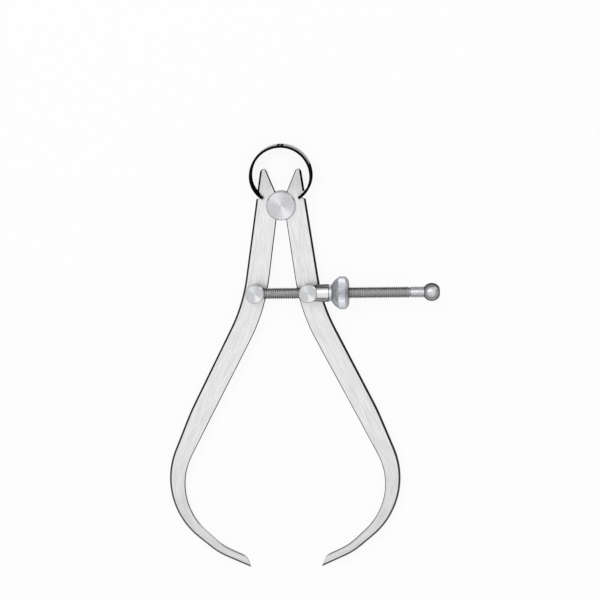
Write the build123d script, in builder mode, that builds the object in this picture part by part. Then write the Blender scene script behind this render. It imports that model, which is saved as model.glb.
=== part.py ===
"""Outside caliper with a bow spring, two bowed legs and an adjusting screw.

The caliper lies on its back. +Z points out of its front face, +Y from the fulcrum to the bow spring,
and +X to the side of the knurled nut. The origin is on the fulcrum's axis, on the fulcrum's back face.
All sizes are in millimetres.
"""
from build123d import *
import os
from math import atan2, cos, degrees, radians, sin, sqrt, tan

os.makedirs("parts", exist_ok=True)

# Clearances
running_gap = 0.05          # between faces and cylinders that turn or slide on each other
thread_gap = 0.02           # between the adjusting screw and the post that it is screwed into
slide_gap = 0.1             # between the adjusting screw and the post and sleeve that slide along it
spring_gap = 0.1            # between the bow spring and the legs

# Fulcrum stud, a spool with a flange at each end
flange_diameter = 12.8
flange_thickness = 1.2
flange_front_bevel = 0.5
flange_back_bevel = 0.3
hub_diameter = 6.4

# Legs: the centre line of the right leg is straight between these corners
leg_thickness = 3.2
leg_reach = 157.0           # fulcrum axis to the tips, straight down
head_out = 6.2              # centre line, level with the fulcrum
bend_out = 0.0794 * leg_reach       # corner beside the swivel post
bend_down = 0.2824 * leg_reach
shoulder_out = 0.232 * leg_reach    # corner above the belly, where the leg starts to thin
shoulder_down = 0.5795 * leg_reach
belly_out = 0.3395 * leg_reach      # corner of the belly
belly_down = 0.8134 * leg_reach
ankle_out = 0.18 * leg_reach        # corner near the tip
ankle_down = 0.951 * leg_reach
tip_out = 15.4              # half the gap between the tips as the legs stand
tip_land = 4.9              # length of the leg's slanted end
tip_bevel = 20.0            # degrees between that end and the line straight down
heel_radius = 5.0           # between that end and the leg's inner edge
bend_radius = 0.4935 * leg_reach    # of the centre line
shoulder_radius = 0.627 * leg_reach
belly_radius = 0.192 * leg_reach
ankle_radius = 0.178 * leg_reach
head_width = 9.65
bend_width = 10.1
shoulder_width = 9.25
belly_width = 5.6
ankle_width = 3.7
outer_chamfer = 0.8
inner_chamfer = 0.35

# Ears above the fulcrum, which meet when the legs are wide open
ear_angle = 22.6            # degrees between an ear's inner face and straight up
ear_tip_radius = 1.45

# Adjusting screw, measured from the left post's axis
thread_diameter = 5.0
thread_end = 66.9
thread_bevel = 0.4
neck_diameter = thread_diameter - 0.4
neck_length = 6.3
ball_diameter = 7.9
ball_flat_depth = 0.45      # cut off the end of the ball
ball_end_fillet = 2.0

# Swivel posts
post_down = 37.65           # fulcrum axis to a post's axis, straight down
post_wall = 1.5             # beside the adjusting screw
post_back_wall = 1.4        # left of the screw's blind end
post_diameter = thread_diameter + 2 * post_wall
post_top_bevel = 0.35
post_above_screw = 4.2      # screw axis to the post's top
shank_diameter = 4.4
rivet_lap = 0.8             # how far the riveted end spreads past the shank
rivet_diameter = shank_diameter + 2 * rivet_lap
rivet_height = 0.8
rivet_fillet = 0.6
washer_rim = 0.5            # how far a washer stands out past the riveted end
washer_diameter = rivet_diameter + 2 * washer_rim
washer_thickness = 0.8

# Thrust sleeve, measured from the right post's axis
screw_hole_diameter = thread_diameter + 2 * slide_gap
sleeve_lap = 1.6            # how far the sleeve's hollow end reaches round the post
sleeve_start = post_diameter / 2 - sleeve_lap
sleeve_end = 8.95
sleeve_post_diameter = screw_hole_diameter + 2.1
sleeve_nut_diameter = screw_hole_diameter + 2.6
sleeve_bevel = 0.25
sleeve_above_leg = 0.5      # leg's front face to the sleeve's lowest edge

# Knurled nut
nut_bore_diameter = thread_diameter + 2 * running_gap
nut_neck_diameter = nut_bore_diameter + 2.0
nut_neck_length = 1.1
nut_rim_diameter = 14.2
nut_rim_step = 0.4          # how far the rim stands out past the cone
nut_rim_width = 3.2
nut_rim_bevel = 0.3
nut_cone_diameter = nut_rim_diameter - 2 * nut_rim_step
nut_cone_length = 3.0
nut_cone_bulge = 0.35       # how far the cone stands out of a straight one
nut_back_diameter = 7.8
nut_back_length = 1.3
nut_back_bulge = 0.4        # how far the back stands out of a straight cone
knurl_teeth = 60
knurl_depth = 0.3

# Bow spring, a flat band bent to a C
band_width = 9.5
band_thickness = 1.05
bow_rise = 12.8             # fulcrum axis to the bow's centre
bow_radius = 13.1           # middle of the band, above the bow's centre
foot_radius = 11.0          # middle of the band, below the bow's centre
foot_tail = 3.35            # from the notch to the foot's end, along the band
band_edge_fillet = 0.2
bow_hole_diameter = 3.0
notch_radius = 1.75         # groove in a leg's outer edge that a foot bears in
notch_drop = 0.9            # from the middle of the foot down to the groove's middle, along the edge

# Levels along Z
leg_back = flange_thickness + running_gap
leg_front = leg_back + leg_thickness
leg_middle = leg_back + leg_thickness / 2
front_seat = leg_front + running_gap
screw_level = leg_front + sleeve_above_leg + sleeve_nut_diameter / 2


def toward(degrees_from_up):
    """Unit vector in the XY plane, turned from straight up towards +X."""
    return Vector(sin(radians(degrees_from_up)), cos(radians(degrees_from_up)))


def crossing(a, b, c, d):
    """Point where the line through a and b meets the line through c and d."""
    along = b - a
    other = d - c
    return a + along * ((c - a).cross(other).Z / along.cross(other).Z)


def edge_corner(before, at, after, width, side):
    """Corner of a leg's edge beside a corner of its centre line: side is 1 outside and -1 inside."""
    first = (at - before).normalized()
    second = (after - at).normalized()
    outward = Vector(-first.Y, first.X)
    mitre = (outward + Vector(-second.Y, second.X)).normalized()
    return at + mitre * (side * width / 2 / mitre.dot(outward))


# Corners of the right leg
axis_point = Vector(0, 0)
head = Vector(head_out, 0)
bend = Vector(bend_out, -bend_down)
shoulder = Vector(shoulder_out, -shoulder_down)
belly = Vector(belly_out, -belly_down)
ankle = Vector(ankle_out, -ankle_down)
tip = Vector(tip_out, -leg_reach)
heel = tip + toward(tip_bevel) * tip_land
toe = (tip + heel) / 2


def leg_edge(side):
    """Corners of one edge of the right leg, from beside the fulcrum to beside the ankle."""
    return [
        edge_corner(head * 2 - bend, head, bend, head_width, side),
        edge_corner(head, bend, shoulder, bend_width, side),
        edge_corner(bend, shoulder, belly, shoulder_width, side),
        edge_corner(shoulder, belly, ankle, belly_width, side),
        edge_corner(belly, ankle, toe, ankle_width, side),
    ]


outer_head, outer_bend, outer_shoulder, outer_belly, outer_ankle = leg_edge(1)
inner_head, inner_bend, inner_shoulder, inner_belly, inner_ankle = leg_edge(-1)
ear_point = crossing(axis_point, toward(ear_angle), outer_head, outer_bend)
crotch = crossing(axis_point, toward(ear_angle), inner_head, inner_bend)
post_spot = head + (bend - head) * (post_down / bend_down)

# The middle of the bow's foot crosses the leg's outer edge at the notch
foot_centre = Vector(bow_radius - foot_radius, bow_rise)
edge_run = (outer_bend - outer_head).normalized()
to_edge = outer_head - foot_centre
to_edge = to_edge - edge_run * to_edge.dot(edge_run)
notch = foot_centre + to_edge + edge_run * sqrt(foot_radius**2 - to_edge.length**2)
groove_middle = notch + edge_run * notch_drop

# The legs are cut to length after their edges are bevelled
tip_run = (tip - outer_ankle).normalized() * tip_land
land_run = heel - tip


def rounded(corner, first, second, radius):
    """Ends and middle of the arc that rounds off a corner between the directions of two points."""
    one = (first - corner).normalized()
    other = (second - corner).normalized()
    half_angle = radians(one.get_angle(other) / 2)
    back = radius / tan(half_angle)
    inward = (one + other).normalized() * (radius / sin(half_angle) - radius)
    return corner + one * back, corner + inward, corner + other * back


ear_arc = rounded(ear_point, crotch, outer_bend, ear_tip_radius)
heel_arc = rounded(heel, tip, inner_ankle, heel_radius)


def near(rim, *lines):
    """Whether an edge of a leg's front or back face lies on one of these lines of its outline."""
    spot = rim @ 0.5
    return any(line.distance_to(Vector(spot.X, spot.Y)) < running_gap for line in lines)


with BuildPart() as right_leg:
    with BuildSketch(Plane.XY.offset(leg_back)):
        with BuildLine():
            outer_line = FilletPolyline(
                ear_point, outer_bend, outer_shoulder, outer_belly, outer_ankle, tip + tip_run,
                radius=[
                    bend_radius - bend_width / 2,
                    shoulder_radius + shoulder_width / 2,
                    belly_radius + belly_width / 2,
                    ankle_radius + ankle_width / 2,
                ],
            )
            inner_line = FilletPolyline(
                heel + tip_run, inner_ankle, inner_belly, inner_shoulder, inner_bend, crotch,
                radius=[
                    ankle_radius - ankle_width / 2,
                    belly_radius - belly_width / 2,
                    shoulder_radius - shoulder_width / 2,
                    bend_radius + bend_width / 2,
                ],
            )
            ear_line = Line(crotch, ear_point)
            Line(tip + tip_run, heel + tip_run)
        make_face()
    extrude(amount=leg_thickness)
    rims = right_leg.faces().filter_by(Axis.Z).edges()
    chamfer(rims.filter_by(lambda rim: near(rim, outer_line)), length=outer_chamfer)
    rims = right_leg.faces().filter_by(Axis.Z).edges()
    chamfer(rims.filter_by(lambda rim: near(rim, inner_line, ear_line)), length=inner_chamfer)
    with BuildSketch(Plane.XY.offset(leg_back)):
        with BuildLine():
            beyond = heel + land_run + tip_run
            outside = tip - land_run
            Polyline(heel_arc[2], beyond, beyond + tip_run, outside + tip_run, outside, heel_arc[0])
            ThreePointArc(*heel_arc)
        make_face()
        with BuildLine():
            Polyline(ear_arc[0], ear_point, ear_arc[2])
            ThreePointArc(*ear_arc)
        make_face()
        Circle(hub_diameter / 2 + running_gap)
        with Locations(groove_middle):
            Circle(notch_radius)
        with Locations(post_spot):
            Circle(shank_diameter / 2 + running_gap)
    extrude(amount=leg_thickness, mode=Mode.SUBTRACT)


with BuildPart() as left_leg:
    mirror(right_leg.part, about=Plane.YZ)

# Fulcrum stud, turned about Z
with BuildPart() as fulcrum_stud:
    with BuildSketch():
        Circle(flange_diameter / 2)
    extrude(amount=flange_thickness)
    chamfer(fulcrum_stud.edges().group_by(Axis.Z)[0], length=flange_back_bevel)
    with BuildSketch(Plane.XY.offset(flange_thickness)):
        Circle(hub_diameter / 2)
    extrude(amount=front_seat - flange_thickness)
    with BuildSketch(Plane.XY.offset(front_seat)):
        Circle(flange_diameter / 2)
    extrude(amount=flange_thickness)
    chamfer(fulcrum_stud.edges().group_by(Axis.Z)[-1], length=flange_front_bevel)

# Swivel posts: the head carries the screw, and the shank is riveted over a washer behind the leg
washer_back = leg_back - running_gap - washer_thickness
post_top = screw_level + post_above_screw


def swivel_post(spot):
    """Post standing at this spot, with no hole for the screw yet."""
    with BuildPart() as post:
        with BuildSketch(Plane.XY.offset(front_seat)):
            with Locations(spot):
                Circle(post_diameter / 2)
        extrude(amount=post_top - front_seat)
        chamfer(post.edges().group_by(Axis.Z)[-1], length=post_top_bevel)
        with BuildSketch(Plane.XY.offset(washer_back)):
            with Locations(spot):
                Circle(shank_diameter / 2)
        extrude(amount=front_seat - washer_back)
        with BuildSketch(Plane.XY.offset(washer_back)):
            with Locations(spot):
                Circle(rivet_diameter / 2)
        extrude(amount=-rivet_height)
        fillet(post.edges().group_by(Axis.Z)[0], radius=rivet_fillet)
    return post.part


def post_washer(spot):
    """Washer between the leg's back and the riveted end of the post at this spot."""
    with BuildPart() as washer:
        with BuildSketch(Plane.XY.offset(washer_back)):
            with Locations(spot):
                Circle(washer_diameter / 2)
                Circle(shank_diameter / 2 + running_gap, mode=Mode.SUBTRACT)
        extrude(amount=washer_thickness)
    return washer.part


left_spot = Vector(-post_spot.X, post_spot.Y)
screw_origin = Vector(left_spot.X, left_spot.Y, screw_level)
sleeve_origin = Vector(post_spot.X, post_spot.Y, screw_level)

with BuildPart() as left_post:
    add(swivel_post(left_spot))
    with Locations(Plane(screw_origin + Vector(post_diameter / 2, 0, 0), z_dir=(1, 0, 0))):
        Hole(thread_diameter / 2 + thread_gap, depth=post_diameter - post_back_wall)

with BuildPart() as right_post:
    add(swivel_post(post_spot))
    with Locations(Plane(sleeve_origin, z_dir=(1, 0, 0))):
        Hole(screw_hole_diameter / 2)


def turning_plane(origin):
    """Plane to draw a turned profile on: X along the screw, Y away from its axis."""
    return Plane(origin=origin, x_dir=(1, 0, 0), z_dir=(0, -1, 0))


def turning_axis(origin):
    return Axis(origin=origin, direction=(1, 0, 0))


# Adjusting screw, turned in one piece with its neck and ball
thread_start = post_back_wall + thread_gap - post_diameter / 2
neck_end = thread_end + neck_length
ball_middle = neck_end + sqrt((ball_diameter**2 - neck_diameter**2) / 4)
ball_end = ball_diameter / 2 - ball_flat_depth
ball_flat_radius = sqrt(ball_diameter**2 / 4 - ball_end**2)

with BuildPart() as adjusting_screw:
    with BuildSketch(turning_plane(screw_origin)):
        with BuildLine():
            Polyline(
                (ball_middle + ball_end, ball_flat_radius),
                (ball_middle + ball_end, 0),
                (thread_start, 0),
                (thread_start, thread_diameter / 2 - thread_bevel),
                (thread_start + thread_bevel, thread_diameter / 2),
                (thread_end - thread_bevel, thread_diameter / 2),
                (thread_end, neck_diameter / 2),
                (neck_end, neck_diameter / 2),
            )
            ThreePointArc(
                (neck_end, neck_diameter / 2),
                (ball_middle, ball_diameter / 2),
                (ball_middle + ball_end, ball_flat_radius),
            )
        make_face()
    revolve(axis=turning_axis(screw_origin))
    fillet(adjusting_screw.edges().group_by(Axis.X)[-1], radius=ball_end_fillet)

# Thrust sleeve: its end is hollowed to sit against the round post
with BuildPart() as thrust_sleeve:
    with BuildSketch(turning_plane(sleeve_origin)):
        with BuildLine():
            Polyline(
                (sleeve_start, screw_hole_diameter / 2),
                (sleeve_start, sleeve_post_diameter / 2),
                (sleeve_end - sleeve_bevel, sleeve_nut_diameter / 2),
                (sleeve_end, sleeve_nut_diameter / 2 - sleeve_bevel),
                (sleeve_end, screw_hole_diameter / 2),
                close=True,
            )
        make_face()
    revolve(axis=turning_axis(sleeve_origin))
    with BuildSketch(Plane.XY.offset(front_seat)):
        with Locations(post_spot):
            Circle(post_diameter / 2 + running_gap)
    extrude(amount=post_top - front_seat, mode=Mode.SUBTRACT)

# Knurled nut
nut_start = sleeve_end + running_gap
cone_start = nut_start + nut_neck_length
rim_start = cone_start + nut_cone_length
rim_end = rim_start + nut_rim_width
nut_end = rim_end + nut_back_length
rim_edge_radius = nut_rim_diameter / 2 - nut_rim_bevel
cone_foot = Vector(cone_start, nut_neck_diameter / 2)
cone_top = Vector(rim_start, nut_cone_diameter / 2)
back_top = Vector(rim_end, rim_edge_radius)
back_foot = Vector(nut_end, nut_back_diameter / 2)


def bulged(first, last, bulge):
    """Two ends and the middle of an arc that stands out of the straight line between the ends."""
    along = (last - first).normalized()
    return first, (first + last) / 2 + Vector(-along.Y, along.X) * bulge, last


with BuildPart() as knurled_nut:
    with BuildSketch(turning_plane(sleeve_origin)):
        with BuildLine():
            Polyline(
                back_foot,
                (nut_end, nut_bore_diameter / 2),
                (nut_start, nut_bore_diameter / 2),
                (nut_start, nut_neck_diameter / 2),
                cone_foot,
            )
            ThreePointArc(*bulged(cone_foot, cone_top, nut_cone_bulge))
            Polyline(
                cone_top,
                (rim_start + nut_rim_bevel, nut_rim_diameter / 2),
                (rim_end - nut_rim_bevel, nut_rim_diameter / 2),
                back_top,
            )
            ThreePointArc(*bulged(back_top, back_foot, nut_back_bulge))
        make_face()
    revolve(axis=turning_axis(sleeve_origin))
    # Straight knurl: the rim is cut to a star of shallow teeth
    with BuildSketch(Plane(sleeve_origin + Vector(nut_start, 0, 0), z_dir=(1, 0, 0))):
        with BuildLine():
            Polyline(
                [
                    Vector(nut_rim_diameter / 2 - knurl_depth * (turn % 2), 0).rotate(
                        Axis.Z, turn * 180 / knurl_teeth
                    )
                    for turn in range(2 * knurl_teeth)
                ],
                close=True,
            )
        make_face()
    extrude(amount=nut_end - nut_start, mode=Mode.INTERSECT)

# Bow spring: a slot in each foot straddles a leg, and the slot's closed end bears in the leg's notch
band_half = band_thickness / 2
slot_width = leg_thickness + 2 * spring_gap
slot_depth = 2 * (notch_radius + foot_tail)
foot_run = (notch - foot_centre).rotate(Axis.Z, -90).normalized()
drop_along = edge_run.dot(foot_run) * notch_drop
drop_across = edge_run.cross(foot_run).length * notch_drop
slot_inset = sqrt((notch_radius - spring_gap)**2 - (band_half + drop_across)**2) - drop_along
slot_turn = degrees(slot_inset / foot_radius)
slot_start = foot_centre + (notch - foot_centre).rotate(Axis.Z, -slot_turn)
slot_run = (slot_start - foot_centre).rotate(Axis.Z, -90).normalized()
slot_angle = degrees(atan2(slot_run.Y, slot_run.X))
foot_sweep = Vector(1, 0).get_angle(notch - foot_centre) + degrees(foot_tail / foot_radius)
foot_end = Vector(1, 0).rotate(Axis.Z, -foot_sweep)

with BuildPart() as bow_spring:
    with BuildSketch(Plane.XY.offset(leg_middle)):
        with BuildLine():
            for side in (band_half, -band_half):
                CenterArc((0, bow_rise), bow_radius + side, 0, 180)
                CenterArc(foot_centre, foot_radius + side, 0, -foot_sweep)
                CenterArc((-foot_centre.X, foot_centre.Y), foot_radius + side, 180, foot_sweep)
            right_end = Line(
                foot_centre + foot_end * (foot_radius + band_half),
                foot_centre + foot_end * (foot_radius - band_half),
            )
            mirror(right_end, about=Plane.YZ)
        make_face()
    extrude(amount=band_width / 2, both=True)
    fillet(bow_spring.faces().filter_by(Axis.Z).edges(), radius=band_edge_fillet)
    with BuildSketch(Plane.XY.offset(leg_middle)):
        with Locations(Location(tuple(slot_start), slot_angle)):
            Rectangle(slot_depth, slot_depth, align=(Align.MIN, Align.CENTER))
        mirror(about=Plane.YZ)
    extrude(amount=slot_width / 2, both=True, mode=Mode.SUBTRACT)
    with Locations(Plane((0, bow_rise + bow_radius + band_thickness, leg_middle), z_dir=(0, 1, 0))):
        Hole(bow_hole_diameter / 2, depth=2 * band_thickness)

pieces = {
    "fulcrum_stud": fulcrum_stud.part,
    "bow_spring": bow_spring.part,
    "left_leg": left_leg.part,
    "right_leg": right_leg.part,
    "left_post": left_post.part,
    "right_post": right_post.part,
    "left_post_washer": post_washer(left_spot),
    "right_post_washer": post_washer(post_spot),
    "adjusting_screw": adjusting_screw.part,
    "thrust_sleeve": thrust_sleeve.part,
    "knurled_nut": knurled_nut.part,
}
for name, piece in pieces.items():
    piece.label = name
    export_step(piece, f"parts/{name}.step")
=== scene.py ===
"""Looks of the outside caliper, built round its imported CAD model. Lengths are in metres."""
import math

import bmesh
import bpy
from mathutils import Matrix, Vector


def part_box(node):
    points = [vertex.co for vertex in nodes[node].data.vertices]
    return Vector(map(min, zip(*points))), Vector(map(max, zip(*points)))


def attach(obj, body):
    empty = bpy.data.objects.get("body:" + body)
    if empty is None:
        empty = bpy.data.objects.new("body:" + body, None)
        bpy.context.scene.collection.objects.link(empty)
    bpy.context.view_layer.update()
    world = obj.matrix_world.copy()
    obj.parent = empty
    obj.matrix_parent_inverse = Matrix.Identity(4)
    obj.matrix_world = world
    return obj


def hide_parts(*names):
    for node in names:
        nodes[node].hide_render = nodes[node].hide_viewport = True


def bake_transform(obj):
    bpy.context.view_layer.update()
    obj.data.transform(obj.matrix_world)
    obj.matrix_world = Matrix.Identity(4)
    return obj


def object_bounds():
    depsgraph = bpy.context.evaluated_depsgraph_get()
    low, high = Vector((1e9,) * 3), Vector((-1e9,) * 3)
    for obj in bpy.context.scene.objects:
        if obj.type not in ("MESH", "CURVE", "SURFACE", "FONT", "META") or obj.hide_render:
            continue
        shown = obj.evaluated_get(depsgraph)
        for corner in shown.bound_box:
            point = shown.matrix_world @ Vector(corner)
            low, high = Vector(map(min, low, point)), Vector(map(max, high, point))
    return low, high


MM = 0.001

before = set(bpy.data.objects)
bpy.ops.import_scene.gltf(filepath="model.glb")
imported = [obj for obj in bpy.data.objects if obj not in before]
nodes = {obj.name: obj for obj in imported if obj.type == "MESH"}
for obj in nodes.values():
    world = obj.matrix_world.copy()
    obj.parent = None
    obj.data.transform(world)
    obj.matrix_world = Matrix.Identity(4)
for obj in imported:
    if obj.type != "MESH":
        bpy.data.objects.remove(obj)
cad_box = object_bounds()


# Node graphs

class Graph:
    """The nodes of one material or world."""

    def __init__(self, owner):
        owner.use_nodes = True
        self.tree = owner.node_tree
        self.tree.nodes.clear()

    def node(self, kind, **values):
        """Add a node. Values set its properties, or its inputs where a name is an input's."""
        made = self.tree.nodes.new("ShaderNode" + kind)
        for name, value in values.items():
            if hasattr(made, name):
                setattr(made, name, value)
            else:
                self.feed(made.inputs[name.replace("_", " ")], value)
        return made

    def feed(self, socket, value):
        """Give an input a constant or another node's output."""
        if isinstance(value, bpy.types.NodeSocket):
            self.tree.links.new(value, socket)
        else:
            socket.default_value = value

    def math(self, operation, first, second=0.0, third=0.0):
        made = self.node("Math", operation=operation)
        for socket, value in zip(made.inputs, (first, second, third)):
            self.feed(socket, value)
        return made.outputs[0]

    def vector(self, x, y, z):
        made = self.node("CombineXYZ")
        for socket, value in zip(made.inputs, (x, y, z)):
            self.feed(socket, value)
        return made.outputs[0]

    def noise(self, at, scale, detail=2.0, roughness=0.5):
        """Noise from 0 to 1 at a vector."""
        made = self.node("TexNoise")
        self.feed(made.inputs["Vector"], at)
        self.feed(made.inputs["Scale"], scale)
        self.feed(made.inputs["Detail"], detail)
        self.feed(made.inputs["Roughness"], roughness)
        return made.outputs["Fac"]

    def ramp(self, factor, stops):
        """Colour that runs through stops of (position, grey or colour), in order."""
        made = self.node("ValToRGB")
        self.feed(made.inputs["Fac"], factor)
        elements = made.color_ramp.elements
        elements.remove(elements[1])
        elements[0].position = stops[0][0]
        elements[0].color = (*rgb(stops[0][1]), 1.0)
        for position, colour in stops[1:]:
            elements.new(position).color = (*rgb(colour), 1.0)
        return made.outputs["Color"]

    def stretch(self, value, low, high):
        """Map 0 to 1 onto low to high."""
        return self.math("MULTIPLY_ADD", value, high - low, low)

    def between(self, value, start, end):
        """Rise from 0 at the start to 1 at the end, which may be lower than the start."""
        made = self.node("MapRange", clamp=True)
        for name, number in (("Value", value), ("From Min", start), ("From Max", end)):
            self.feed(made.inputs[name], number)
        return made.outputs[0]

    def tint(self, colour, value):
        """Colour made lighter or darker by a value near 1."""
        made = self.node("VectorMath", operation="SCALE")
        self.feed(made.inputs[0], colour)
        self.feed(made.inputs["Scale"], value)
        return made.outputs[0]

    def bump(self, height, distance, strength=1.0, normal=None):
        made = self.node("Bump")
        self.feed(made.inputs["Height"], height)
        self.feed(made.inputs["Distance"], distance)
        self.feed(made.inputs["Strength"], strength)
        if normal is not None:
            self.feed(made.inputs["Normal"], normal)
        return made.outputs[0]


def rgb(colour):
    return (colour,) * 3 if isinstance(colour, float) else colour


def scaled(colour, share):
    return tuple(share * part for part in colour)


QUARTER_TURN = 0.25


def finish_material(graph, colour, roughness, normal, metallic=1.0, anisotropy=0.0, tangent=None, specular=0.5):
    """Join the shader to a material's colour, roughness and normal."""
    shader = graph.node("BsdfPrincipled")
    graph.feed(shader.inputs["Base Color"], colour)
    graph.feed(shader.inputs["Roughness"], roughness)
    graph.feed(shader.inputs["Metallic"], metallic)
    graph.feed(shader.inputs["Specular IOR Level"], specular)
    graph.feed(shader.inputs["Anisotropic"], anisotropy)
    graph.feed(shader.inputs["Normal"], normal)
    if tangent is not None:
        graph.feed(shader.inputs["Tangent"], tangent)
        graph.feed(shader.inputs["Anisotropic Rotation"], QUARTER_TURN)
    output = graph.node("OutputMaterial")
    graph.feed(output.inputs["Surface"], shader.outputs[0])


def new_material(name):
    made = bpy.data.materials.new(name)
    return made, Graph(made)


def place(graph, centre=(0.0, 0.0, 0.0)):
    """X, Y and Z in millimetres from a point, in the shared frame at rest."""
    split = graph.node("SeparateXYZ")
    graph.feed(split.inputs[0], graph.node("TexCoord").outputs["Object"])
    return [
        graph.math("MULTIPLY", graph.math("SUBTRACT", socket, middle), 1 / MM)
        for socket, middle in zip(split.outputs, centre)
    ]


def centre_of(box):
    low, high = box
    return (low + high) / 2


def from_axis(graph, first, second):
    """Distance from an axis, given the places along the two directions across it."""
    squares = graph.math("ADD", graph.math("MULTIPLY", first, first), graph.math("MULTIPLY", second, second))
    return graph.math("SQRT", squares)


def facing(graph):
    """How far the true surface normal points along X and along Z, each from 0 to 1."""
    split = graph.node("SeparateXYZ")
    graph.feed(split.inputs[0], graph.node("NewGeometry").outputs["True Normal"])
    return graph.math("ABSOLUTE", split.outputs[0]), graph.math("ABSOLUTE", split.outputs[2])


# Steel of the legs: brushed along each leg, with painted shade on the bevels and sides

# The brushing follows each leg's middle line, in (height above the fulcrum's axis, distance out from it). The curve
# that holds it starts at LEG_TOP and runs down over LEG_REACH, and out to LEG_WIDEST.
LEG_TOP, LEG_REACH, LEG_WIDEST = 20.0, 180.0, 60.0
LEG_MIDDLE = [(16, 3.9), (0, 6.2), (-31, 10.6), (-44, 13.2), (-53, 17.1), (-85, 33.5), (-93, 37.4), (-106, 43.3),
              (-115, 46.2), (-122, 46.9), (-130, 45.4), (-138, 40.8), (-144, 35.3), (-148, 30.6), (-151, 25.5),
              (-155, 15.5), (-158, 8.0)]
LEG_SHIFT = 40.0        # keeps the two legs' grain apart
# Share of the true normal that points along Z: less than BEVEL on a bevel or side, more than FLAT_FACE on a flat face
BEVEL, FLAT_FACE = 0.86, 0.97


def leg_steel():
    made, g = new_material("brushed_leg_steel")
    x, y, z = place(g)
    curve = g.node("FloatCurve")
    points = curve.mapping.curves[0].points
    spots = sorted(((LEG_TOP - height) / LEG_REACH, out / LEG_WIDEST) for height, out in LEG_MIDDLE)
    points[0].location, points[1].location = spots[0], spots[-1]
    for spot in spots[1:-1]:
        points.new(*spot)
    curve.mapping.update()
    g.feed(curve.inputs["Value"], g.math("DIVIDE", g.math("SUBTRACT", LEG_TOP, y), LEG_REACH))
    middle = g.math("MULTIPLY", curve.outputs[0], LEG_WIDEST)
    across = g.math("SUBTRACT", g.math("ABSOLUTE", x), middle)
    lane = g.math("MULTIPLY_ADD", g.math("SIGN", x), LEG_SHIFT, across)
    streaks = g.noise(g.vector(lane, g.math("MULTIPLY", y, 0.09), z), 1.5, 4.0, 0.65)
    brushed = g.noise(g.vector(lane, g.math("MULTIPLY", y, 0.035), z), 7.0, 4.0, 0.62)
    fine = g.noise(g.vector(lane, g.math("MULTIPLY", y, 0.05), z), 26.0, 2.0)
    cloud = g.noise(g.vector(lane, y, z), 0.12, 3.0)
    flatness = facing(g)[1]
    # Painted shade: the bevels and sides are coloured dark by the way they face
    steel = g.ramp(flatness, [
        (0.0, (0.2, 0.2, 0.205)), (0.45, (0.12, 0.12, 0.125)), (0.62, (0.03, 0.03, 0.032)),
        (BEVEL, (0.03, 0.03, 0.032)), (FLAT_FACE, (0.73, 0.73, 0.737)),
    ])
    # The faces darken a little at the ears, and below the belly as painted shade. The lower bevels and sides are
    # painted lighter, a painted highlight that is strongest on the inner bevels
    ears = g.between(y, 3.0, 9.0)
    low_down = g.between(y, -95.0, -135.0)
    face = g.between(flatness, BEVEL, FLAT_FACE)
    inner = g.math("LESS_THAN", across, 0.0)
    upward = g.between(flatness, 0.3, 0.6)
    bevel = g.math("MULTIPLY", g.math("SUBTRACT", upward, face), g.stretch(inner, 3.5, 9.0))
    painted_bevel_light = g.math("MULTIPLY", low_down, g.math("ADD", bevel, g.math("SUBTRACT", 1.0, upward)))
    darker_faces = g.math("MULTIPLY", face, g.math("ADD", g.math("MULTIPLY", low_down, 0.1), g.math("MULTIPLY", ears, 0.2)))
    # The face darkening and the painted highlight, joined into one factor on the colour
    tone_and_painted_light = g.math("ADD", g.math("SUBTRACT", 1.0, darker_faces), painted_bevel_light)
    shade = g.math("MULTIPLY", g.stretch(brushed, 0.93, 1.07), g.stretch(cloud, 0.97, 1.03))
    shade = g.math("MULTIPLY", shade, g.stretch(streaks, 0.68, 1.32))
    colour = g.tint(steel, g.math("MULTIPLY", shade, tone_and_painted_light))
    roughness = g.math("ADD", g.stretch(brushed, 0.26, 0.42), g.stretch(fine, -0.04, 0.04))
    normal = g.bump(brushed, 0.006 * MM, 0.6, g.bump(fine, 0.003 * MM, 0.6))
    # The sides keep a dull skin
    shine = g.between(flatness, 0.2, 0.5)
    finish_material(g, colour, roughness, normal, metallic=g.stretch(shine, 0.15, 1.0),
                    specular=g.math("MULTIPLY", shine, 0.5))
    return made


# Turned steel of the stud and posts: fine rings round each axis

def turned_steel(name, node, colour, roughness, dish):
    """Steel with rings round Z. The dish is the slope at which its top seems to rise outwards."""
    made, g = new_material(name)
    x, y, z = place(g, centre_of(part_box(node)))
    radius = from_axis(g, x, y)
    rings = g.noise(g.vector(radius, g.math("MULTIPLY", z, 0.3), 0.0), 9.0, 4.0, 0.6)
    patch = g.noise(g.vector(x, y, z), 1.2, 4.0, 0.65)
    flatness = facing(g)[1]
    # Painted shade on the sides, and a painted highlight on the bevel
    steel = g.ramp(flatness, [(0.0, scaled(colour, 0.6)), (0.6, scaled(colour, 1.25)), (FLAT_FACE, colour)])
    shade = g.math("MULTIPLY", g.stretch(rings, 0.86, 1.14), g.stretch(patch, 0.78, 1.22))
    tangent = g.node("Tangent", direction_type="RADIAL", axis="Z").outputs[0]
    dished = g.bump(radius, dish * MM)
    finish_material(g, g.tint(steel, shade), g.stretch(rings, roughness - 0.06, roughness + 0.08),
                    g.bump(rings, 0.01 * MM, 0.7, dished), anisotropy=0.75, tangent=tangent)
    return made


# Steel of the pieces that are turned about the screw's axis

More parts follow.
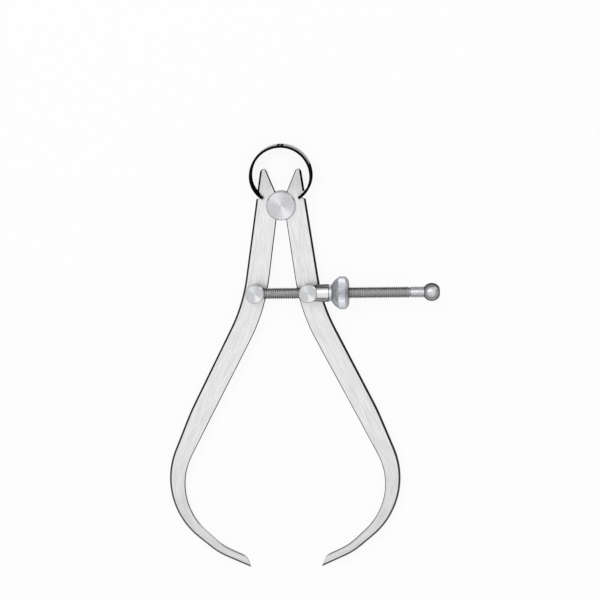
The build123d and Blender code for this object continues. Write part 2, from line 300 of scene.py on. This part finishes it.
def lathe_steel(name, colour, roughness, speckle, dark=0.06, rim=(0.5, 0.82, 0.95)):
    """Steel with rings round X, with painted shade: it is dark on upright surfaces, and lightens in three steps of
    flatness, the rim.
    """
    made, g = new_material(name)
    x, y, z = place(g, centre_of(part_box("adjusting_screw")))
    radius = from_axis(g, y, z)
    rings = g.noise(g.vector(x, radius, 0.0), 7.0, 4.0, 0.6)
    patch = g.noise(g.vector(x, y, z), 1.1, 4.0, 0.65)
    shade = g.math("MULTIPLY", g.stretch(rings, 0.92, 1.08), g.stretch(patch, 1.0 - speckle, 1.0 + speckle))
    flatness = facing(g)[1]
    # Painted shade, darkest where the surface stands upright
    steel = g.ramp(flatness, [
        (0.0, scaled(colour, dark)), (rim[0], scaled(colour, 2 * dark)), (rim[1], scaled(colour, 0.85)),
        (rim[2], colour),
    ])
    tangent = g.node("Tangent", direction_type="RADIAL", axis="X").outputs[0]
    finish_material(g, g.tint(steel, shade), g.stretch(rings, roughness - 0.05, roughness + 0.07),
                    g.bump(rings, 0.01 * MM, 0.6), anisotropy=0.4, tangent=tangent)
    return made


def nut_steel():
    made, g = new_material("knurled_nut_steel")
    x, y, z = place(g, centre_of(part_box("knurled_nut")))
    grit = g.noise(g.vector(x, y, z), 3.4, 3.0, 0.7)
    cloud = g.noise(g.vector(x, y, z), 0.7, 2.0)
    endways, flatness = facing(g)
    # Painted shade: lightest round the rim, and darker the more it faces along the screw
    steel = g.ramp(endways, [(0.25, (0.66, 0.68, 0.725)), (0.55, (0.56, 0.57, 0.595)), (0.9, (0.40, 0.41, 0.43))])
    shade = g.math("MULTIPLY", g.stretch(grit, 0.35, 1.65), g.stretch(cloud, 0.85, 1.15))
    # Painted shade where the surface faces sideways
    shade = g.math("MULTIPLY", shade, g.stretch(g.between(flatness, 0.0, 0.5), 0.25, 1.0))
    finish_material(g, g.tint(steel, shade), g.stretch(grit, 0.32, 0.5), g.bump(grit, 0.03 * MM, 0.7))
    return made


def thread_steel():
    made, g = new_material("threaded_steel")
    x, y, z = place(g, centre_of(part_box("adjusting_screw")))
    radius = from_axis(g, y, z)
    # Painted shade: from dark roots to light crests, and dark along both sides
    height = g.math("DIVIDE", g.math("SUBTRACT", radius, 2.0), 0.5)
    steel = g.ramp(height, [(0.0, (0.40, 0.40, 0.41)), (0.5, (0.50, 0.50, 0.51)), (0.95, (0.60, 0.60, 0.61))])
    speckle = g.noise(g.vector(x, y, z), 2.2, 4.0, 0.6)
    topward = g.math("DIVIDE", g.math("ABSOLUTE", z), radius)
    # Painted shade along both sides of the screw
    shade = g.math("MULTIPLY", g.stretch(speckle, 0.5, 1.6), g.stretch(g.between(topward, 0.5, 0.85), 0.12, 1.0))
    finish_material(g, g.tint(steel, shade), g.stretch(speckle, 0.4, 0.6), g.bump(speckle, 0.01 * MM, 0.5))
    return made


# Blued spring steel: near black, with a soft sheen

BOW_RISE = 12.8         # fulcrum axis to the bow's centre


def spring_black():
    made, g = new_material("blued_spring_steel")
    x, y, z = place(g)
    grain = g.noise(g.vector(x, y, g.math("MULTIPLY", z, 6.0)), 2.0, 4.0, 0.6)
    patch = g.noise(g.vector(x, y, z), 0.25, 3.0)
    steel = g.ramp(patch, [(0.3, (0.003, 0.003, 0.0035)), (0.7, (0.006, 0.006, 0.007))])
    # The band's outer surface keeps a sheen, and the rest is dull
    outward = g.node("VectorMath", operation="DOT_PRODUCT")
    g.feed(outward.inputs[0], g.node("NewGeometry").outputs["True Normal"])
    g.feed(outward.inputs[1], g.vector(x, g.math("SUBTRACT", y, BOW_RISE), 0.0))
    sheen = g.between(outward.outputs["Value"], 1.0, 6.0)
    # The sheen is gone round the hole at the top, less so in line with it, and fades down the sides
    aside = g.math("ABSOLUTE", x)
    beside_hole = g.math("ADD", g.between(aside, 1.3, 1.8), g.math("MULTIPLY", g.between(aside, 0.4, 0.1), 0.5))
    sheen = g.math("MULTIPLY", sheen, g.math("MULTIPLY", beside_hole, g.between(y, 18.0, 24.5)))
    finish_material(g, steel, g.stretch(grain, 0.12, 0.24), g.bump(grain, 0.004 * MM, 0.5), metallic=0.0,
                    specular=g.math("MULTIPLY", sheen, 0.12))
    return made


def wear(node, material):
    """Give a CAD node its material in every slot."""
    mesh = nodes[node].data
    for index in range(len(mesh.materials)):
        mesh.materials[index] = material
    if not mesh.materials:
        mesh.materials.append(material)


STUD_COLOUR = (0.62, 0.62, 0.645)
POST_COLOUR = (0.60, 0.605, 0.615)
SLEEVE_COLOUR = (0.76, 0.765, 0.775)
SCREW_COLOUR = (0.64, 0.645, 0.66)

brushed = leg_steel()
for leg in ("left_leg", "right_leg"):
    wear(leg, brushed)
wear("fulcrum_stud", turned_steel("turned_stud_steel", "fulcrum_stud", STUD_COLOUR, 0.42, 0.025))
for post in ("left_post", "right_post"):
    post_steel = turned_steel("turned_" + post + "_steel", post, POST_COLOUR, 0.38, 0.05)
    wear(post, post_steel)
    wear(post + "_washer", post_steel)
wear("thrust_sleeve", lathe_steel("bright_sleeve_steel", SLEEVE_COLOUR, 0.18, speckle=0.3))
wear("knurled_nut", nut_steel())


# Adjusting screw with a real thread, its neck and its ball, in millimetres from the left post's axis

PITCH = 0.8
SIDES = 48
STEPS_PER_PITCH = 12
CREST_RADIUS, ROOT_RADIUS = 2.49, 2.02
ROOT_SHARE, FLANK_SHARE = 0.25, 0.62        # of half a turn
BEVEL_LENGTH = 0.3                          # at both ends of the thread
THREAD_END, NECK_END = 66.9, 73.2
END_RADII = (1.6, 2.0)                      # the flat blind end
THREAD_END_RADIUS = 2.15
UNDERCUT = [(0.02, 1.95), (0.25, 1.95), (0.45, 2.22)]       # place after the thread's end, and radius
NECK_AFTER, NECK_BEFORE = 0.6, 0.2          # the neck is straight from so far after the thread to before the ball
NECK_RADIUS, BALL_RADIUS, BALL_FILLET = 2.3, 3.95, 2.0
BALL_STEPS, FILLET_STEPS = 32, 12
THREAD, BALL, NECK = 0, 1, 2                # materials, in the mesh's order


def thread_radius(along, turn):
    """Radius of a thread with flat crests and roots, and flanks some 56 degrees apart."""
    phase = (along / PITCH - turn) % 1.0
    rise = (min(phase, 1.0 - phase) * 2.0 - ROOT_SHARE) / FLANK_SHARE
    return ROOT_RADIUS + (CREST_RADIUS - ROOT_RADIUS) * min(max(rise, 0.0), 1.0)


def screw_rings():
    """The left post's axis, and the screw's rings as (place along it, radius or None for the thread's, material)."""
    low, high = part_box("left_post")
    post = (low.x + high.x) / 2
    start, end = ((corner.x - post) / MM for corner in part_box("adjusting_screw"))
    rings = [(start, radius, THREAD) for radius in END_RADII]
    length = THREAD_END - 2 * BEVEL_LENGTH - start
    count = round(length / PITCH * STEPS_PER_PITCH)
    for step in range(count + 1):
        rings.append((start + BEVEL_LENGTH + length * step / count, None, THREAD))
    rings.append((THREAD_END, THREAD_END_RADIUS, THREAD))
    rings += [(THREAD_END + along, radius, NECK) for along, radius in UNDERCUT]
    rings += [(along, NECK_RADIUS, NECK) for along in (THREAD_END + NECK_AFTER, NECK_END - NECK_BEFORE)]

    # The ball's flat end meets it in a fillet
    middle = NECK_END + math.sqrt(BALL_RADIUS**2 - NECK_RADIUS**2)
    fillet_along = end - middle - BALL_FILLET
    fillet_out = math.sqrt((BALL_RADIUS - BALL_FILLET)**2 - fillet_along**2)
    first = math.pi - math.asin(NECK_RADIUS / BALL_RADIUS)
    last = math.atan2(fillet_out, fillet_along)
    for step in range(BALL_STEPS + 1):
        angle = first - (first - last) * step / BALL_STEPS
        rings.append((middle + BALL_RADIUS * math.cos(angle), BALL_RADIUS * math.sin(angle), BALL))
    for step in range(1, FILLET_STEPS + 1):
        angle = last * (FILLET_STEPS - step) / FILLET_STEPS
        along, out = fillet_along + BALL_FILLET * math.cos(angle), fillet_out + BALL_FILLET * math.sin(angle)
        rings.append((middle + along, out, BALL))
    return post, rings


def adjusting_screw():
    low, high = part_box("adjusting_screw")
    axis_y, axis_z = (low.y + high.y) / 2, (low.z + high.z) / 2
    post, rings = screw_rings()
    mesh = bmesh.new()
    rows = []
    for along, radius, _ in rings:
        row = []
        for index in range(SIDES):
            turn = index / SIDES
            angle = 2 * math.pi * turn
            size = thread_radius(along, turn) if radius is None else radius
            spot = (post + along * MM, axis_y + size * math.cos(angle) * MM, axis_z + size * math.sin(angle) * MM)
            row.append(mesh.verts.new(spot))
        rows.append(row)
    for row, after, (_, _, material) in zip(rows, rows[1:], rings[1:]):
        for index in range(SIDES):
            following = (index + 1) % SIDES
            face = mesh.faces.new((row[index], row[following], after[following], after[index]))
            face.material_index = material
            face.smooth = True
    for row, material in ((rows[0], THREAD), (rows[-1], BALL)):
        hub = mesh.verts.new(sum((vert.co for vert in row), Vector()) / len(row))
        for index in range(SIDES):
            face = mesh.faces.new((row[index], row[(index + 1) % SIDES], hub))
            face.material_index = material
    bmesh.ops.recalc_face_normals(mesh, faces=mesh.faces)
    made = bpy.data.meshes.new("screw")
    mesh.to_mesh(made)
    mesh.free()
    made.materials.append(thread_steel())
    made.materials.append(
        lathe_steel("turned_ball_steel", SCREW_COLOUR, 0.4, speckle=0.6, dark=0.03, rim=(0.5, 0.76, 0.93)))
    made.materials.append(
        lathe_steel("turned_neck_steel", SCREW_COLOUR, 0.5, speckle=0.5, dark=0.3, rim=(0.4, 0.8, 0.95)))
    piece = bpy.data.objects.new("threaded_screw", made)
    bpy.context.scene.collection.objects.link(piece)
    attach(piece, "screw_side")
    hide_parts("adjusting_screw")


adjusting_screw()


# Bow spring in two halves, cut apart at its middle

SHARPEST_SMOOTH = math.radians(32)
SAME_SPOT = 0.0001 * MM


def bow_half(name, side, material):
    mesh = bmesh.new()
    mesh.from_mesh(nodes["bow_spring"].data)
    bmesh.ops.remove_doubles(mesh, verts=mesh.verts, dist=SAME_SPOT)
    everything = list(mesh.verts) + list(mesh.edges) + list(mesh.faces)
    cut = bmesh.ops.bisect_plane(mesh, geom=everything, plane_co=(0, 0, 0), plane_no=(side, 0, 0), clear_inner=True)
    rim = [part for part in cut["geom_cut"] if isinstance(part, bmesh.types.BMEdge)]
    bmesh.ops.holes_fill(mesh, edges=rim, sides=0)
    for face in mesh.faces:
        face.smooth = True
    for edge in mesh.edges:
        edge.smooth = len(edge.link_faces) == 2 and edge.calc_face_angle() < SHARPEST_SMOOTH
    bmesh.ops.recalc_face_normals(mesh, faces=mesh.faces)
    made = bpy.data.meshes.new(name)
    mesh.to_mesh(made)
    mesh.free()
    made.materials.clear()
    made.materials.append(material)
    piece = bpy.data.objects.new(name, made)
    bpy.context.scene.collection.objects.link(piece)
    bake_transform(piece)
    return piece


blued = spring_black()
right_bow = bow_half("right_bow_half", 1, blued)
left_bow = bow_half("left_bow_half", -1, blued)
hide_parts("bow_spring")
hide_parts("bow_spring")


# Floor, light and camera

FLOOR_HALF = 3.0
FLOOR_CENTRE = (0.0, -0.06)
FLOOR_GAP = 0.01 * MM
FLOOR_GREY = 0.9
WHITE_SHARE = 0.9       # what the camera and reflections see as white. The rest keeps the shadow.


def floor():
    """Pale floor just below the caliper."""
    mesh = bmesh.new()
    bmesh.ops.create_grid(mesh, x_segments=1, y_segments=1, size=FLOOR_HALF)
    made = bpy.data.meshes.new("floor")
    mesh.to_mesh(made)
    mesh.free()
    plane = bpy.data.objects.new("floor", made)
    plane.location = (*FLOOR_CENTRE, cad_box[0].z - FLOOR_GAP)
    bpy.context.scene.collection.objects.link(plane)
    material, g = new_material("floor")
    rays = g.node("LightPath")
    seen = g.math("MAXIMUM", rays.outputs["Is Camera Ray"],
                  g.math("MAXIMUM", rays.outputs["Is Glossy Ray"], rays.outputs["Is Transmission Ray"]))
    paint = g.node("BsdfDiffuse", Color=(*rgb(FLOOR_GREY), 1.0))
    glow = g.node("Emission", Color=(1.0, 1.0, 1.0, 1.0), Strength=1.0)
    mix = g.node("MixShader")
    g.feed(mix.inputs[0], g.math("MULTIPLY", seen, WHITE_SHARE))
    g.feed(mix.inputs[1], paint.outputs[0])
    g.feed(mix.inputs[2], glow.outputs[0])
    g.feed(g.node("OutputMaterial").inputs["Surface"], mix.outputs[0])
    made.materials.append(material)


floor()


def studio():
    """A dome that is bright overhead and dim near the floor, and white to the camera."""
    world = bpy.data.worlds.new("studio")
    bpy.context.scene.world = world
    g = Graph(world)
    split = g.node("SeparateXYZ")
    g.feed(split.inputs[0], g.node("TexCoord").outputs["Generated"])
    sky = g.ramp(split.outputs[2], [(0.0, 0.04), (0.2, 0.08), (0.5, 0.75), (0.75, 1.0)])
    dome = g.node("Background", Strength=1.0)
    g.feed(dome.inputs["Color"], sky)
    white = g.node("Background", Color=(1.0, 1.0, 1.0, 1.0), Strength=1.0)
    mix = g.node("MixShader")
    g.feed(mix.inputs[0], g.node("LightPath").outputs["Is Camera Ray"])
    g.feed(mix.inputs[1], dome.outputs[0])
    g.feed(mix.inputs[2], white.outputs[0])
    g.feed(g.node("OutputWorld").inputs["Surface"], mix.outputs[0])


studio()


def softbox(name, spot, aim, size, power):
    """Round lamp that faces a point, with its power in watts."""
    lamp = bpy.data.lights.new(name, "AREA")
    lamp.shape = "DISK"
    lamp.size = size
    lamp.energy = power
    holder = bpy.data.objects.new(name, lamp)
    holder.location = spot
    holder.rotation_euler = (Vector(aim) - Vector(spot)).to_track_quat("-Z", "Y").to_euler()
    bpy.context.scene.collection.objects.link(holder)


softbox("key", (-0.36, 0.40, 1.02), (0.01, -0.06, 0.0), 0.5, 2.4)
softbox("low", (0.75, 0.65, 0.16), (0.0, 0.0, 0.0), 0.3, 1.2)


# Camera: far off and nearly overhead, leaning towards the bow and the ball

PIXELS = 600
PIXELS_PER_MM = 2.313
LEAN_X, LEAN_Y, ROLL = math.radians(3.0), math.radians(5.5), math.radians(0.85)
FULCRUM_PIXEL = (281.0, 205.7)
FULCRUM_LEVEL = 4.45        # millimetres above Z = 0, where that pixel looks at it
DISTANCE = 10.0
SENSOR = 36.0

back = Vector((math.tan(LEAN_X), math.tan(LEAN_Y), 1.0)).normalized()
up = Vector((math.sin(ROLL), math.cos(ROLL), 0.0))
right = up.cross(back).normalized()
up = back.cross(right)
span = PIXELS / PIXELS_PER_MM * MM
aim = (
    Vector((0.0, 0.0, FULCRUM_LEVEL * MM))
    + right * ((PIXELS / 2 - FULCRUM_PIXEL[0]) / PIXELS_PER_MM * MM)
    + up * ((FULCRUM_PIXEL[1] - PIXELS / 2) / PIXELS_PER_MM * MM)
)
lens = bpy.data.cameras.new("camera")
lens.sensor_width = SENSOR
lens.lens = SENSOR * DISTANCE / span
camera = bpy.data.objects.new("camera", lens)
camera.matrix_world = Matrix.Translation(aim + back * DISTANCE) @ Matrix((right, up, back)).transposed().to_4x4()
bpy.context.scene.collection.objects.link(camera)
bpy.context.scene.camera = camera
bpy.context.scene.view_settings.view_transform = "Standard"
